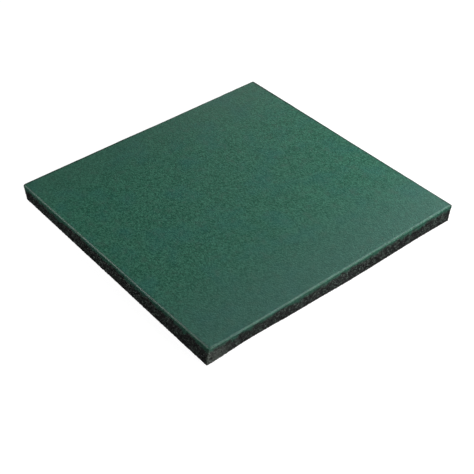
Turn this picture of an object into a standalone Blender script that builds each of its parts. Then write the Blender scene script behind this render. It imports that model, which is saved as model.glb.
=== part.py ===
"""A square floor tile pressed from rubber granulate, 500 x 500 x 30 mm, lying flat with its green face up.

The origin is the middle of the underside. +Z runs up through the thickness, and X and Y are square to the sides.
"""

import bpy

# Driving dimensions, in metres
TILE_SIDE = 0.500  # across the walking face, out to where its edges would be if they were sharp
TILE_THICKNESS = 0.030
SIDE_DRAFT = 0.002  # what each side draws in by, from the walking face down to the underside
CORNER_RADIUS = 0.005  # the four upright corners, seen from above
TOP_ARRIS_RADIUS = 0.004  # the rounding round the walking face
FOOT_ARRIS_RADIUS = 0.001  # the rounding round the underside
GREEN_DEPTH = 0.009  # how far down the sides the green course reaches

# How finely the roundings are divided
CORNER_SEGMENTS = 6
TOP_ARRIS_SEGMENTS = 6
FOOT_ARRIS_SEGMENTS = 2

# Linear colours, and the finish
GREEN = (0.034, 0.092, 0.070, 1.0)
BLACK = (0.016, 0.019, 0.017, 1.0)
RUBBER_ROUGHNESS = 0.72

# Across the underside, where the draft ends
FOOT_SIDE = TILE_SIDE - 2 * SIDE_DRAFT


def clear_scene():
    for leftover in list(bpy.data.objects):
        bpy.data.objects.remove(leftover)


def two_tone_rubber():
    """Green above the colour line and black below it, by the height in the tile's own frame."""
    material = bpy.data.materials.new("two_tone_rubber")
    material.use_nodes = True
    nodes, links = material.node_tree.nodes, material.node_tree.links
    surface = nodes["Principled BSDF"]
    surface.inputs["Roughness"].default_value = RUBBER_ROUGHNESS
    surface.inputs["Metallic"].default_value = 0.0

    position = nodes.new("ShaderNodeTexCoord")
    split = nodes.new("ShaderNodeSeparateXYZ")
    above_line = nodes.new("ShaderNodeMath")
    above_line.operation = "GREATER_THAN"
    above_line.inputs[1].default_value = TILE_THICKNESS - GREEN_DEPTH
    tone = nodes.new("ShaderNodeMix")
    tone.data_type = "RGBA"
    tone.inputs["A"].default_value = BLACK
    tone.inputs["B"].default_value = GREEN

    links.new(position.outputs["Object"], split.inputs["Vector"])
    links.new(split.outputs["Z"], above_line.inputs[0])
    links.new(above_line.outputs["Value"], tone.inputs["Factor"])
    links.new(tone.outputs["Result"], surface.inputs["Base Color"])
    return material


def add_blank(name, collection):
    """A block as wide as the underside and as high as the tile, standing on its origin."""
    bpy.ops.mesh.primitive_cube_add(size=1.0)
    blank = bpy.context.object
    blank.name = name
    blank.scale = (FOOT_SIDE, FOOT_SIDE, TILE_THICKNESS)
    blank.location = (0.0, 0.0, TILE_THICKNESS / 2)
    bpy.ops.object.transform_apply(location=True, rotation=False, scale=True)
    for holder in list(blank.users_collection):
        holder.objects.unlink(blank)
    collection.objects.link(blank)
    return blank


def mark_edges(blank):
    """Weights the four upright edges, and groups the top's and the foot's corners, for the bevels to find."""
    mesh = blank.data
    middle = TILE_THICKNESS / 2
    top = [vertex.index for vertex in mesh.vertices if vertex.co.z > middle]
    foot = [vertex.index for vertex in mesh.vertices if vertex.co.z < middle]
    blank.vertex_groups.new(name="walking_face").add(top, 1.0, "REPLACE")
    blank.vertex_groups.new(name="underside").add(foot, 1.0, "REPLACE")
    weights = mesh.attributes.new("bevel_weight_edge", "FLOAT", "EDGE")
    for edge in mesh.edges:
        lower_end, upper_end = edge.vertices
        is_upright = (lower_end in top) != (upper_end in top)
        weights.data[edge.index].value = 1.0 if is_upright else 0.0


def lean_sides(blank):
    """The mould's draft: the block widens from the underside up to the walking face."""
    draft = blank.modifiers.new("side draft", "SIMPLE_DEFORM")
    draft.deform_method = "TAPER"
    draft.deform_axis = "Z"
    draft.factor = TILE_SIDE / FOOT_SIDE - 1


def round_edges(blank, name, radius, segments, corner_group=None):
    """Rounds the edges within a group of corners or, with no group given, the weighted edges."""
    rounding = blank.modifiers.new(name, "BEVEL")
    rounding.width = radius
    rounding.segments = segments
    rounding.profile = 0.5
    rounding.use_clamp_overlap = False
    if corner_group:
        rounding.limit_method = "VGROUP"
        rounding.vertex_group = corner_group
    else:
        rounding.limit_method = "WEIGHT"


def make_tile(collection):
    tile = add_blank("rubber_tile", collection)
    mark_edges(tile)
    lean_sides(tile)
    round_edges(tile, "upright corners", CORNER_RADIUS, CORNER_SEGMENTS)
    round_edges(tile, "top arris", TOP_ARRIS_RADIUS, TOP_ARRIS_SEGMENTS, "walking_face")
    round_edges(tile, "foot arris", FOOT_ARRIS_RADIUS, FOOT_ARRIS_SEGMENTS, "underside")
    tile.data.shade_smooth()
    tile.modifiers.new("flat faces stay flat", "WEIGHTED_NORMAL")
    tile.data.materials.append(two_tone_rubber())


def main():
    clear_scene()
    collection = bpy.data.collections.new("rubber_floor_tile")
    bpy.context.scene.collection.children.link(collection)
    make_tile(collection)


main()
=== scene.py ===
# %% [markdown]
# A rubber floor tile is one block of rubber granulate, pressed and cured in a shallow square mould: a thin
# green course on top, black below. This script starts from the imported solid, which fixes the tile's place
# and size, and gives it a surface: a finely divided skin with the granulate's relief, and a two-tone
# material with its grain.

import math

import bmesh
import bpy
from mathutils import Matrix, Vector, noise


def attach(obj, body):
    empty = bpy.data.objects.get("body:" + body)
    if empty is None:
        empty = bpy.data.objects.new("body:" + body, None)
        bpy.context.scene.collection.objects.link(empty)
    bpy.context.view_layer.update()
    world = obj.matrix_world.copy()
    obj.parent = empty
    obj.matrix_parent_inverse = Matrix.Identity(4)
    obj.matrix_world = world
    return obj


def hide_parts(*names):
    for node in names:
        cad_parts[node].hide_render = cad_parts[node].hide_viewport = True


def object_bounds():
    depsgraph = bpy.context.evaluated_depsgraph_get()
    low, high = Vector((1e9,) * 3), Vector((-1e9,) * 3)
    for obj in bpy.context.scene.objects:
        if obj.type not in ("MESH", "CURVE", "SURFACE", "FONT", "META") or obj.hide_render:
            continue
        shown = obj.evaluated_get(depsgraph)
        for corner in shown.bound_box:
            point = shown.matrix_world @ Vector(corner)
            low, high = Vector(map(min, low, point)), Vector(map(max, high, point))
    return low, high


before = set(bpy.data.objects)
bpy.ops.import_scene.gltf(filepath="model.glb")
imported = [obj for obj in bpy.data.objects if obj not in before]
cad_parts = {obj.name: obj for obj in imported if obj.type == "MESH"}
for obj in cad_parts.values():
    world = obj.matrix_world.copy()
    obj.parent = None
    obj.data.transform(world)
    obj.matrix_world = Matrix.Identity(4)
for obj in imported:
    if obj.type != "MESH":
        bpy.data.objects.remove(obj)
CAD_LOW, CAD_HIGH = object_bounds()
TINY = 1e-6
print("solid, mm:", [round(side * 1000, 1) for side in CAD_HIGH - CAD_LOW])

# %% [markdown]
# The picture was taken from above one corner with a longish lens. A camera on a tripod is easiest to
# describe as the photographer would: the point it is aimed at, its bearing, its height as an angle, its
# distance and its lens. Building its matrix from those, and not from a tracking constraint, keeps it fixed
# and easy to read.

# %% The camera
AIM_ON_FACE = Vector((0.0875, -0.0630, 0.030))
CAMERA_BEARING = math.radians(51.80)  # round from the -Y side towards the +X side
CAMERA_HEIGHT = math.radians(40.00)
CAMERA_ROLL = math.radians(-1.55)
CAMERA_DISTANCE = 1.6018
LENS_MM = 78.56
SENSOR_MM = 36.0


def towards(bearing, height):
    """The direction from the tile to something seen at that bearing and at that angle above the floor."""
    flat = math.cos(height)
    return Vector((math.sin(bearing) * flat, -math.cos(bearing) * flat, math.sin(height)))


def place_camera():
    backward = towards(CAMERA_BEARING, CAMERA_HEIGHT)
    rightward = Vector((math.cos(CAMERA_BEARING), math.sin(CAMERA_BEARING), 0))
    rightward = Matrix.Rotation(CAMERA_ROLL, 3, backward) @ rightward
    upward = backward.cross(rightward)
    camera = bpy.data.objects.new("camera", bpy.data.cameras.new("camera"))
    camera.data.lens = LENS_MM
    camera.data.sensor_width = SENSOR_MM
    camera.matrix_world = Matrix((rightward, upward, backward)).transposed().to_4x4()
    camera.location = AIM_ON_FACE + CAMERA_DISTANCE * backward
    bpy.context.scene.collection.objects.link(camera)
    bpy.context.scene.camera = camera
    return camera


camera = place_camera()
print("camera at", [round(part, 3) for part in camera.location])

# %% [markdown]
# Numbers and colours that vary over a surface come from small node networks. Wiring them by hand hides the
# sums, so one class wraps a node's output and lends it Python's operators: 1 - mask adds the Math node that
# works it out.

# %% Shader sums written as Python


class Socket:
    """A node's output. Sums on it add Math nodes."""

    def __init__(self, shader, output):
        self.shader = shader
        self.output = output

    def also(self, name):
        """Another output of the same node."""
        return Socket(self.shader, self.output.node.outputs[name])

    def maths(self, operation, *terms, clamp=False):
        settings = {"operation": operation, "use_clamp": clamp}
        return self.shader.node("ShaderNodeMath", settings, dict(enumerate(terms)))

    def __add__(self, other):
        return self.maths("ADD", self, other)

    def __radd__(self, other):
        return self.maths("ADD", other, self)

    def __sub__(self, other):
        return self.maths("SUBTRACT", self, other)

    def __rsub__(self, other):
        return self.maths("SUBTRACT", other, self)

    def __mul__(self, other):
        return self.maths("MULTIPLY", self, other)

    def __rmul__(self, other):
        return self.maths("MULTIPLY", other, self)

    def clamped(self):
        return self.maths("ADD", self, 0.0, clamp=True)

    def ramp(self, low, high):
        """0 at low and 1 at high, with a soft rise between; low may be the larger."""
        sockets = {"Value": self, "From Min": low, "From Max": high}
        return self.shader.node("ShaderNodeMapRange", {"interpolation_type": "SMOOTHSTEP"}, sockets)


print("sums ready, with a plain number on either side")

# %% [markdown]
# A material's nodes all come from one method, which takes a node's type, its settings, and the values or
# links of its sockets. Granulate needs few patterns, so each gets a short name on top of that: a soft mottle,
# granules that fill the space, and the random numbers that belong to each granule.

# %% A material and its nodes


class Shader:
    """A material with a Principled surface, and one way to add a node to it."""

    def __init__(self, name):
        self.material = bpy.data.materials.new(name)
        self.material.use_nodes = True
        self.tree = self.material.node_tree
        self.surface = self.tree.nodes["Principled BSDF"]

    def node(self, kind, settings=None, sockets=None, output=0):
        made = self.tree.nodes.new(kind)
        for name, value in (settings or {}).items():
            setattr(made, name, value)
        for name, value in (sockets or {}).items():
            self.feed(made.inputs[name], value)
        return Socket(self, made.outputs[output])

    def feed(self, socket, value):
        if isinstance(value, Socket):
            self.tree.links.new(value.output, socket)
        else:
            socket.default_value = value

    def finish(self, **sockets):
        for name, value in sockets.items():
            self.feed(self.surface.inputs[name.replace("_", " ")], value)
        return self.material

    def blend(self, first, second, factor):
        """Two colours mixed by a factor."""
        sockets = {"Factor": factor, "A": first, "B": second}
        return self.node("ShaderNodeMix", {"data_type": "RGBA"}, sockets, "Result")

    def place(self):
        """The point of the surface in the object's own frame, in metres."""
        return self.node("ShaderNodeTexCoord", output="Object")

    def parts(self, vector):
        """A vector's x, as a socket that also has Y and Z."""
        return self.node("ShaderNodeSeparateXYZ", None, {"Vector": vector}, "X")

    def mottle(self, place, size, detail=2.0):
        """Soft noise from 0 to 1, with patches of about that size."""
        sockets = {"Vector": place, "Scale": 1 / size, "Detail": detail}
        return self.node("ShaderNodeTexNoise", None, sockets, "Fac")

    def granules(self, place, size):
        """How far the nearest granule's middle is, with its three random numbers as a colour."""
        return self.node("ShaderNodeTexVoronoi", None, {"Vector": place, "Scale": 1 / size}, "Distance")

    def chances(self, granules):
        """A granule's random numbers, as a socket that also has Green and Blue."""
        return self.node("ShaderNodeSeparateColor", None, {"Color": granules.also("Color")}, "Red")


print("patterns ready: mottle, granules and their chances")

# %% [markdown]
# The tile lies on a plain white ground with no shadow on it, as on a lit table. A large flat sheet is
# enough. It glows a little, and it is hidden from the rays that light the tile, so that it whitens the
# picture and nothing else. It sits a hair under the tile so that the two faces never lie in one plane.

# %% The floor
FLOOR_HALF = 4.0
FLOOR_DROP = 0.0003
FLOOR_WHITE = (0.20, 0.20, 0.20, 1.0)
FLOOR_GLOW = (0.90, 0.90, 0.90, 1.0)
FLOOR_ROUGHNESS = 0.9


def white_ground():
    return Shader("floor_white").finish(
        Base_Color=FLOOR_WHITE,
        Roughness=FLOOR_ROUGHNESS,
        Emission_Color=FLOOR_GLOW,
        Emission_Strength=1.0,
    )


def lay_floor():
    bm = bmesh.new()
    bmesh.ops.create_grid(bm, x_segments=1, y_segments=1, size=FLOOR_HALF)
    bmesh.ops.translate(bm, verts=bm.verts, vec=(0, 0, CAD_LOW.z - FLOOR_DROP))
    mesh = bpy.data.meshes.new("floor")
    bm.to_mesh(mesh)
    bm.free()
    mesh.materials.append(white_ground())
    floor = bpy.data.objects.new("floor", mesh)
    bpy.context.scene.collection.objects.link(floor)
    floor.visible_diffuse = False
    floor.visible_glossy = False
    return floor


floor = lay_floor()
print("floor:", round(floor.dimensions.x, 1), "m square")

# %% [markdown]
# The light in the picture is broad and soft. The face is brighter towards the right and the back, its
# rounded edges catch a pale line, and the left side is nearly black. Softboxes do that. The low one behind
# the tile lights the far end of the face, the two on the right light the right side and its rounded edge,
# and the one on the left only draws the pale line there. A low softbox would glare in the face when it is
# looked at from the other side, so the one behind gives no gloss: the face takes its sheen from two larger
# and dimmer ones above it, which give nothing else.

# %% The lights
# Bearing and height are in degrees, distance and size in metres, and power in watts.
SOFTBOXES = {
    "right_low": dict(bearing=90, height=8, distance=1.5, size=0.7, power=13.3),
    "right_high": dict(bearing=115, height=35, distance=1.4, size=0.5, power=8.2),
    "back_right": dict(bearing=170, height=15, distance=1.2, size=0.5, power=26.0, gloss=False),
    "back_left": dict(bearing=230, height=15, distance=1.2, size=0.5, power=0.7),
    "left": dict(bearing=-42, height=33, distance=1.8, size=0.5, power=17.8),
    "sheen_back": dict(bearing=172, height=32, distance=1.5, size=0.9, power=7.3, diffuse=False),
    "sheen_right": dict(bearing=150, height=45, distance=1.5, size=0.9, power=10.3, diffuse=False),
}
ROOM_LIGHT = (0.030, 0.030, 0.030, 1.0)
BACKDROP = (1.0, 1.0, 1.0, 1.0)


def hang_softbox(name, bearing, height, distance, size, power, diffuse=True, gloss=True):
    direction = towards(math.radians(bearing), math.radians(height))
    lamp = bpy.data.lights.new(name, "AREA")
    lamp.shape = "SQUARE"
    lamp.size = size
    lamp.energy = power
    softbox = bpy.data.objects.new(name, lamp)
    softbox.location = distance * direction
    softbox.rotation_euler = direction.to_track_quat("Z", "Y").to_euler()
    softbox.visible_camera = False
    softbox.visible_diffuse = diffuse
    softbox.visible_glossy = gloss
    bpy.context.scene.collection.objects.link(softbox)
    return softbox


def light_room():
    """A dim room that the camera sees as white."""
    world = bpy.data.worlds.new("room")
    world.use_nodes = True
    nodes, links = world.node_tree.nodes, world.node_tree.links
    seen = nodes.new("ShaderNodeLightPath").outputs["Is Camera Ray"]
    choice = nodes.new("ShaderNodeMix")
    choice.data_type = "RGBA"
    choice.inputs["A"].default_value = ROOM_LIGHT
    choice.inputs["B"].default_value = BACKDROP
    links.new(seen, choice.inputs["Factor"])
    links.new(choice.outputs["Result"], nodes["Background"].inputs["Color"])
    bpy.context.scene.world = world


softboxes = [hang_softbox(name, **facts) for name, facts in SOFTBOXES.items()]
light_room()
bpy.context.scene.view_settings.view_transform = "Standard"
print("softboxes:", ", ".join(box.name for box in softboxes))

# %% [markdown]
# The skin begins as a cube that is divided into rows up its sides and columns along them. The columns of
# the face are 2.6 mm wide, which is fine enough for its slight unevenness. The sides are rougher, and they
# are seen edge-on in the outline, so their columns are split once more. The underside lies on the floor and
# stays one flat face.

# %% The divided block
FACE_COLUMNS = 200
CORNER_COLUMNS = 5
FOOT_ROWS, SIDE_ROWS, ARRIS_ROWS = 2, 20, 4
ROWS = FOOT_ROWS + SIDE_ROWS + ARRIS_ROWS


def is_upright(edge):
    first, last = edge.verts
    return abs(first.co.z - last.co.z) > TINY


def is_on_side(face):
    return abs(face.normal.z) < 0.5


def divide_block():
    bm = bmesh.new()
    bmesh.ops.create_cube(bm, size=2.0)
    upright = [edge for edge in bm.edges if is_upright(edge)]
    bmesh.ops.subdivide_edges(bm, edges=upright, cuts=ROWS - 1)
    level = [edge for edge in bm.edges if not is_upright(edge)]
    bmesh.ops.subdivide_edges(bm, edges=level, cuts=FACE_COLUMNS - 1, use_grid_fill=True)
    bm.normal_update()
    underside = [face for face in bm.faces if face.normal.z < -0.5]
    bmesh.ops.dissolve_faces(bm, faces=underside, use_verts=True)
    level = [edge for edge in bm.edges if not is_upright(edge)]
    along_sides = [edge for edge in level if any(is_on_side(face) for face in edge.link_faces)]
    bmesh.ops.subdivide_edges(bm, edges=along_sides, cuts=1)
    return bm


skin_bm = divide_block()
print("divided block:", len(skin_bm.verts), "vertices,", len(skin_bm.faces), "faces")

# %% [markdown]
# The mould gives the block its form: the sides draw in towards the underside, the upright corners are
# rounded, the edge of the face is a broad round and the foot's edge a tight one. A Bevel would cut the grid
# into slivers there, so each point of the divided cube is moved onto the moulded form instead. The first
# five columns and the last rows fall on the roundings: a point's way across them becomes its angle round
# the arc.
#
# One thing is wrong here and is left so, with the light set to match it. The rows on the round of the
# face's edge are laid from its foot at the top row to its middle at the lowest, so the skin is folded
# there, with the round outermost. Their turn should grow from an eighth of a circle at the top row to a
# quarter at the lowest.

# %% The mould's sizes and roundings
THICKNESS = CAD_HIGH.z - CAD_LOW.z
TOP_ARRIS = 0.0036
FOOT_ARRIS = 0.001
CORNER = 0.004
FLAT_END = CORNER - TOP_ARRIS  # how far the flat of the face reaches into the outer columns
SIDE_DRAFT = 0.002
HALF_SIDE = (CAD_HIGH.x - CAD_LOW.x) / 2 + SIDE_DRAFT * TOP_ARRIS / THICKNESS  # as if the edge were sharp
HALF_CORE = HALF_SIDE - CORNER
CORE_SHARE = 1 - 2 * CORNER_COLUMNS / FACE_COLUMNS
EIGHTH_TURN, QUARTER_TURN = math.pi / 4, math.pi / 2


def rise(value, low, high):
    """0 at low and 1 at high, with a soft rise between; low may be the larger."""
    share = max(0.0, min(1.0, (value - low) / (high - low)))
    return share * share * (3 - 2 * share)


def scaled(value, first, last, start, end):
    """Where a value between first and last falls between start and end."""
    return start + (end - start) * (value - first) / (last - first)


def spread(share):
    """From -1 to 1 across the cube to metres across the face, with the outer columns on the roundings."""
    size = abs(share)
    if size < CORE_SHARE:
        across = HALF_CORE * size / CORE_SHARE
    else:
        across = scaled(size, CORE_SHARE, 1, HALF_CORE, HALF_SIDE)
    return math.copysign(across, share)


def height_of_row(share):
    """From -1 to 1 up the cube to metres above the underside, with the end rows on the roundings."""
    row = (share + 1) / 2 * ROWS
    arris_row = FOOT_ROWS + SIDE_ROWS
    if row < FOOT_ROWS:
        return scaled(row, 0, FOOT_ROWS, 0, FOOT_ARRIS)
    if row < arris_row:
        return scaled(row, FOOT_ROWS, arris_row, FOOT_ARRIS, THICKNESS - TOP_ARRIS)
    return scaled(row, arris_row, ROWS, THICKNESS - TOP_ARRIS, THICKNESS)


def on_the_roundings(reach, height):
    """A point's reach out of the core and its height, once the face's edge and the foot's are rounded."""
    if height > THICKNESS - TOP_ARRIS:
        if reach < CORNER - TINY:
            turn = max(reach - FLAT_END, 0) / TOP_ARRIS * EIGHTH_TURN
        else:
            turn = QUARTER_TURN - (THICKNESS - height) / TOP_ARRIS * EIGHTH_TURN
        if turn > 0:
            reach = FLAT_END + TOP_ARRIS * math.sin(turn)
        height = THICKNESS - TOP_ARRIS * (1 - math.cos(turn))
    elif height < FOOT_ARRIS:
        turn = height / FOOT_ARRIS * QUARTER_TURN
        reach = CORNER - FOOT_ARRIS * (1 - math.sin(turn))
        height = FOOT_ARRIS * (1 - math.cos(turn))
    return reach, height


print("mould, mm:", round(HALF_SIDE * 2000, 1), "across and", round(THICKNESS * 1000, 1), "deep")

# %% [markdown]
# Rubber granulate comes out of its mould a little crooked. The edge of the face and the foot each wander a
# millimetre or two from the straight line, and the left side has shrunk in most, towards the front corner.
# Each line is a few points read off the tile, joined softly. The corners differ too: the front one is crisp
# at the foot.

# %% How the tile came out crooked
# Where each side wanders from the straight line, at the face and at the foot. A line is a list of points:
# metres along the side, and metres outwards. A side is named by its axis, 0 or 1, and its direction.
FACE_RIGHT = ((-0.245, -0.0020), (-0.215, -0.0004), (-0.150, 0.0004), (0.0, 0.0002), (0.245, -0.0006))
FOOT_RIGHT = (
    (-0.245, 0.0007), (-0.170, -0.0015), (-0.070, 0.0008), (0.030, 0.0024), (0.190, 0.0010), (0.245, 0.0018)
)
FACE_LEFT = ((-0.245, -0.0025), (0.070, -0.0040), (0.200, -0.0054), (0.245, -0.0066))
FOOT_LEFT = ((-0.245, -0.0009), (0.0, 0.0003), (0.140, 0.0012), (0.245, 0.0017))
FACE_BACK_LEFT = ((-0.245, 0.0008), (-0.070, 0.0007), (0.070, -0.0008), (0.245, -0.0007))
FACE_BACK_RIGHT = ((-0.245, 0.0010), (-0.080, 0.0006), (0.020, 0.0), (0.245, 0.0))
FOOT_BACK_LEFT = ((-0.245, 0.0), (-0.090, 0.0006), (0.110, -0.0006), (0.245, 0.0))
FOOT_BACK_RIGHT = ((-0.245, 0.0), (-0.060, 0.0005), (0.120, 0.0), (0.245, -0.0022))
SIDE_LINES = {
    (0, 1): (FACE_RIGHT, FOOT_RIGHT),
    (1, -1): (FACE_LEFT, FOOT_LEFT),
    (0, -1): (FACE_BACK_LEFT, FOOT_BACK_LEFT),
    (1, 1): (FACE_BACK_RIGHT, FOOT_BACK_RIGHT),
}
WANDER_REACH = 0.060  # how far in from a side the face still follows its edge

# How far each upright corner is from round (0) to square (1), at the face and at the foot. A corner is named
# by its directions along x and y.
CRISPNESS = {(1, -1): (0.2, 0.8), (1, 1): (0.6, 0.0), (-1, -1): (0.1, 0.0), (-1, 1): (0.0, 0.0)}


def between(value, points):
    """A smooth line through points (place, height), level past its ends."""
    if value <= points[0][0]:
        return points[0][1]
    for (first, low), (last, high) in zip(points, points[1:]):
        if value < last:
            return low + (high - low) * rise(value, first, last)
    return points[-1][1]


def wander(flat, depth):
    """How far a point lies from its place in a perfect mould, seen from above; depth is 0 at the face."""
    shift = Vector((0, 0))
    for axis in (0, 1):
        direction = 1 if flat[axis] > 0 else -1
        face_line, foot_line = SIDE_LINES[axis, direction]
        along = flat[1 - axis]
        outwards = (1 - depth) * between(along, face_line) + depth * between(along, foot_line)
        nearness = rise(abs(flat[axis]), HALF_SIDE - WANDER_REACH, HALF_CORE)
        shift[axis] = direction * outwards * nearness
    return shift


front_corner = Vector((HALF_SIDE, -HALF_SIDE))
print("front corner of the face off true, mm:", [round(part * 1000, 1) for part in wander(front_corner, 0)])

# %% [markdown]
# Each point of the divided cube now takes its place. Its core is the nearest point of the square inside the
# roundings. From there it reaches outwards, on the arcs, and then leans in with the draft and wanders with
# its side.

# %% Pressing the block into its mould


def at_corner(outward, reach, flat, depth):
    """The way out of the core at that reach, between a round corner and a square one."""
    if not outward.length:
        return outward
    rounded = outward.normalized() * reach
    square = outward * (reach / max(abs(outward.x), abs(outward.y)))
    at_face, at_foot = CRISPNESS[math.copysign(1, flat.x), math.copysign(1, flat.y)]
    return rounded.lerp(square, (1 - depth) * at_face + depth * at_foot)


def moulded(place):
    """The place on the moulded tile of a point of the divided cube."""
    flat = Vector((spread(place.x), spread(place.y)))
    core = Vector([max(-HALF_CORE, min(HALF_CORE, part)) for part in flat])
    outward = flat - core
    reach = max(abs(outward.x), abs(outward.y))
    reach, height = on_the_roundings(reach, height_of_row(place.z))
    depth = 1 - height / THICKNESS
    outward = at_corner(outward, reach, flat, depth)
    lean = 1 - SIDE_DRAFT * depth / HALF_SIDE
    flat = (core + outward) * lean
    flat += wander(flat, depth)
    return Vector((flat.x, flat.y, height))


for vert in skin_bm.verts:
    vert.co = moulded(vert.co)
skin_bm.normal_update()
print("moulded, mm:", round(max(vert.co.x for vert in skin_bm.verts) * 2000, 1), "wide")

# %% [markdown]
# Granulate leaves relief that the eye reads at once at the edges. The face is pressed hard against the
# mould and is only faintly uneven. Lower down the granules are coarser, with open pores between them, the
# foot's edge crumbles a little, and one granule is torn out near the front corner. Displacement modifiers
# with textures could do it, but noise read at each point's own place moves it along its normal in one pass,
# and is the same on every run.

# %% The granulate's relief
SWELL, SWELL_SIZE = 0.00015, 0.090
FACE_GRAIN, FACE_GRAIN_SIZE = 0.00007, 0.0045
ARRIS_WOBBLE, ARRIS_WOBBLE_SIZE = 0.00025, 0.018
ARRIS_RIM = (0.97, 0.99)  # shares of the half side, where the wobble of the face's edge begins and is full
ARRIS_BAND = (THICKNESS - 0.012, THICKNESS - 0.004)
SIDE_GRANULE, SIDE_GRANULE_SIZE = 0.00060, 0.0034
SIDE_BAND = (THICKNESS - TOP_ARRIS, THICKNESS - 0.010)
PORE_STEEPNESS = 2.2
PIT = Vector((0.2490, -0.2408, 0.0094))  # a granule torn out of the right side, near the front corner
PIT_RADIUS, PIT_DEPTH = 0.0024, 0.0012


def granule_height(place, size):
    """From -1 in the pores to about 0 on the granules' tops."""
    nearest, second = noise.voronoi(place / size)[0][:2]
    return -1 + min(1.0, (second - nearest) * PORE_STEEPNESS)


def relief(place):
    """How far a point stands proud of the moulded form, in metres."""
    on_side = rise(place.z, *SIDE_BAND)
    rim = max(abs(place.x), abs(place.y)) / HALF_SIDE
    on_arris = rise(rim, *ARRIS_RIM) * rise(place.z, *ARRIS_BAND)
    height = SWELL * noise.noise(place / SWELL_SIZE)
    height += FACE_GRAIN * (1 - on_side) * noise.noise(place / FACE_GRAIN_SIZE)
    height += ARRIS_WOBBLE * on_arris * noise.noise(place / ARRIS_WOBBLE_SIZE)
    if on_side > 0:
        height += SIDE_GRANULE * on_side * granule_height(place, SIDE_GRANULE_SIZE)
    height -= PIT_DEPTH * rise((place - PIT).length, PIT_RADIUS, 0)
    return height


def raise_relief(bm):
    """Moves each point along its normal, keeps the underside flat, and gives the longest move."""
    moves = [(vert, vert.normal * relief(vert.co)) for vert in bm.verts]
    for vert, move in moves:
        is_foot = vert.co.z < TINY
        vert.co += move
        vert.co.z = 0 if is_foot else max(vert.co.z, 0)
    return max(move.length for vert, move in moves)


longest_move = raise_relief(skin_bm)
print("relief, mm: up to", round(longest_move * 1000, 2))

# %% [markdown]
# On the face each granule has its own shade of green, with bluer and greyer clouds among them, as mixed
# batches of granulate have. Towards the right side a bluish grey is painted over the face, a painted sheen
# for the pale light that the face reflects there; towards the far left side it turns greyer, and the green
# on the sides is greyer than the face. All of it reads the place in the tile's own frame, where east is +X
# and north is +Y, so no map has to be unwrapped and nothing slides.

# %% The green course
DEEP_GREEN = (0.0010, 0.056, 0.031, 1.0)
PALE_GREEN = (0.0290, 0.129, 0.083, 1.0)
BLUISH = (0.0090, 0.086, 0.078, 1.0)
# painted sheen: the bluish grey laid over the face towards the right side
GREY_BLUE_SHEEN = (0.0330, 0.086, 0.078, 1.0)
GREYISH = (0.0300, 0.082, 0.060, 1.0)
FACE_GRANULE = 0.0026
SPECKLE, CLOUD, BLUE_CLOUD, GREY_CLOUD = 0.0031, 0.030, 0.045, 0.016  # how big the patches are
GRANULE_CONTRAST, SPECKLE_CONTRAST, CLOUD_CONTRAST = 0.55, 2.6, 0.4
ABOVE_ARRIS = (0.0291, 0.0296)  # the heights between which the edge's green becomes the face's
BELOW_ARRIS = (0.0275, 0.0262)
SHEEN_TOWARDS_RIGHT = (0.08, 0.25)
TOWARDS_FAR_LEFT = (0.12, 0.25)


def face_green(shader, place):
    """The green of the walking course, and its granules."""
    grains = shader.granules(place, FACE_GRANULE)
    chance = shader.chances(grains)
    speckle = shader.mottle(place, SPECKLE, detail=1.0) - 0.5
    clouds = shader.mottle(place, CLOUD, detail=3.0) - 0.5
    pale = 0.5 + GRANULE_CONTRAST * (chance - 0.5) + SPECKLE_CONTRAST * speckle + CLOUD_CONTRAST * clouds
    green = shader.blend(DEEP_GREEN, PALE_GREEN, pale.clamped())
    green = shader.blend(green, BLUISH, 0.36 * shader.mottle(place, BLUE_CLOUD).ramp(0.45, 0.75))
    east = shader.parts(place)
    height = east.also("Z")
    on_face = height.ramp(*ABOVE_ARRIS)
    # painted sheen: a bluish grey over the face towards the right side, for the pale light it reflects there
    green = shader.blend(green, GREY_BLUE_SHEEN, 0.45 * on_face * east.ramp(*SHEEN_TOWARDS_RIGHT))
    green = shader.blend(green, GREYISH, 0.35 * on_face * (0 - east).ramp(*TOWARDS_FAR_LEFT))
    green = shader.blend(green, GREYISH, 0.5 * height.ramp(*BELOW_ARRIS))
    green = shader.blend(green, GREYISH, 0.5 * shader.mottle(place, GREY_CLOUD).ramp(0.50, 0.80))
    return green, grains


print("green course: granules of", FACE_GRANULE * 1000, "mm")

# %% [markdown]
# Greyer granules are strewn in the black of the base. Light and shade are painted on it too: a paler patch
# where the right side catches more light by the front corner, a painted highlight down the rounded upright
# edge there, and painted shade in the hole of the torn-out granule, along the foot where the tile meets the
# floor, and on the two far sides, whose edges turn away from the light. Each painted place is a mask: a few
# soft ramps along x, y and the height, multiplied together.

# %% The black base, with painted light and shade
BLACK = (0.002, 0.003, 0.0025, 1.0)
GREY = (0.055, 0.076, 0.063, 1.0)
# painted light: the paler patch where the right side catches more light by the front corner
PAINTED_CORNER_LIGHT = (0.058, 0.068, 0.058, 1.0)
# painted highlight: the pale strip down the rounded upright edge at the front corner
PAINTED_EDGE_HIGHLIGHT = (0.090, 0.108, 0.090, 1.0)
# painted shade: the dark rim along the two far sides, whose edges turn away from the light
PAINTED_FAR_SHADE = (0.004, 0.010, 0.008, 1.0)
BASE_GRANULE = 0.0024
GREY_CHANCE = (0.62, 0.96)
# Each pair is where a mask begins and where it is full, in metres
RIGHT_SIDE = (0.2440, 0.2465)
FAR_SIDE = (0.2435, 0.2475)
CORNER_LIGHT_ALONG, CORNER_LIGHT_BELOW = (0.195, 0.235), (0.0260, 0.0140)
EDGE_HIGHLIGHT_ALONG, EDGE_HIGHLIGHT_BELOW, EDGE_HIGHLIGHT_ABOVE = (0.2400, 0.2430), (0.0280, 0.0240), (0.0020, 0.0080)
PIT_SHADE = (0.0036, 0.0021)
FOOT_SHADE = (0.0060, 0.0025)


def base_black(shader, place):
    """The black of the base, with greyer granules among the black ones, its granules and their chances."""
    grains = shader.granules(place, BASE_GRANULE)
    chance = shader.chances(grains)
    return shader.blend(BLACK, GREY, chance.ramp(*GREY_CHANCE)), grains, chance


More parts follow.
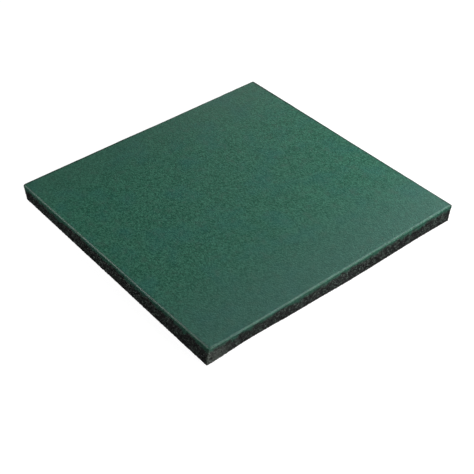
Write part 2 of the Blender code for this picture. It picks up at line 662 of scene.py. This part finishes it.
def painted_light_and_shade(shader, place, colour):
    """Painted light and highlight by the front corner; painted shade in the pit, at the foot and far sides."""
    east = shader.parts(place)
    north, height = east.also("Y"), east.also("Z")
    south = 0 - north
    on_right = east.ramp(*RIGHT_SIDE)
    corner_light = on_right * south.ramp(*CORNER_LIGHT_ALONG) * height.ramp(*CORNER_LIGHT_BELOW)
    # painted light: a paler patch low on the right side, where it catches more light by the front corner
    colour = shader.blend(colour, PAINTED_CORNER_LIGHT, 0.8 * corner_light)
    edge_highlight = on_right * south.ramp(*EDGE_HIGHLIGHT_ALONG) * height.ramp(*EDGE_HIGHLIGHT_BELOW) * height.ramp(*EDGE_HIGHLIGHT_ABOVE)
    # painted highlight: a pale strip down the rounded upright edge of the front corner
    colour = shader.blend(colour, PAINTED_EDGE_HIGHLIGHT, 0.5 * edge_highlight)
    far_shade = ((0 - east).ramp(*FAR_SIDE) + north.ramp(*FAR_SIDE)).clamped()
    # painted shade: a dark rim on the two far sides, whose edges turn away from the light
    colour = shader.blend(colour, PAINTED_FAR_SHADE, 0.7 * far_shade)
    from_pit = shader.node("ShaderNodeVectorMath", {"operation": "DISTANCE"}, {0: place, 1: PIT}, "Value")
    # painted shade: darker in the torn-out granule's hole and along the foot where the tile meets the floor
    painted_shade = (from_pit.ramp(*PIT_SHADE) + (1 - corner_light) * height.ramp(*FOOT_SHADE)).clamped()
    return shader.blend(colour, BLACK, 0.9 * painted_shade)


print("black base: granules of", BASE_GRANULE * 1000, "mm")

# %% [markdown]
# Down the sides the green fades raggedly into black, as it does where the mould's two fillings met: the
# height of the fading is shaken by noise and by each granule's chance. The shaking dies out towards the face,
# which stays all green. The finish follows the same mask: the green has a fine, even grain, and the black base
# is lumpy, with granules that differ in gloss.

# %% The two-tone granulate
ALL_BLACK, ALL_GREEN = 0.0190, 0.0280  # the heights between which the green fades
LEFT_RAISES_BLACK, LEFT_LOWERS_GREEN = 0.0015, 0.0020  # the fading is shorter on the left side
LEFT_SIDE = (0.2430, 0.2460)
RAGGED_GRANULE, RAGGED_NOISE, RAGGED_NOISE_SIZE = 0.0030, 0.022, 0.014
RAGGED_BELOW = (0.0300, 0.0250)
LUMP_SIZE = 0.0040
BUMP_DISTANCE = 0.001


def is_green_at(shader, place, chance):
    """1 in the green course and 0 in the base, with the ragged fading between."""
    north = shader.parts(place).also("Y")
    height = north.also("Z")
    ragged = RAGGED_GRANULE * (chance.also("Green") - 0.5)
    ragged = ragged + RAGGED_NOISE * (shader.mottle(place, RAGGED_NOISE_SIZE) - 0.5)
    ragged = ragged * height.ramp(*RAGGED_BELOW)
    on_left = (0 - north).ramp(*LEFT_SIDE)
    low = ALL_BLACK + LEFT_RAISES_BLACK * on_left
    high = ALL_GREEN - LEFT_LOWERS_GREEN * on_left
    return (height - ragged).ramp(low, high)


def pressed_granulate():
    shader = Shader("pressed_granulate")
    place = shader.place()
    green, face_grains = face_green(shader, place)
    black, base_grains, chance = base_black(shader, place)
    is_green = is_green_at(shader, place, chance)
    colour = painted_light_and_shade(shader, place, shader.blend(black, green, is_green))

    lumps = 2.0 * shader.mottle(place, LUMP_SIZE, detail=1.0) - 1.2 * base_grains
    grain = (1 - is_green) * lumps - 0.30 * is_green * face_grains
    bump_sockets = {"Strength": 1.0, "Distance": BUMP_DISTANCE, "Height": grain}
    bump = shader.node("ShaderNodeBump", None, bump_sockets, "Normal")
    rough = 0.46 + 0.08 * chance + (1 - is_green) * (0.50 * chance.also("Blue") - 0.20)
    return shader.finish(Base_Color=colour, Roughness=rough, Normal=bump)


granulate = pressed_granulate()
print("granulate:", len(granulate.node_tree.nodes), "nodes")

# %% [markdown]
# The pressed block becomes one smooth-shaded object with the granulate as its only material. It rides the
# tile's one body and replaces the imported solid in the dressed tile.

# %% The finished skin


def finish_skin(bm):
    mesh = bpy.data.meshes.new("tile_skin")
    bm.to_mesh(mesh)
    bm.free()
    mesh.shade_smooth()
    mesh.materials.append(granulate)
    skin = bpy.data.objects.new("tile_skin", mesh)
    bpy.context.scene.collection.objects.link(skin)
    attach(skin, "root")
    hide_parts("rubber_tile")
    return skin


skin = finish_skin(skin_bm)
print("skin:", len(skin.data.polygons), "faces")
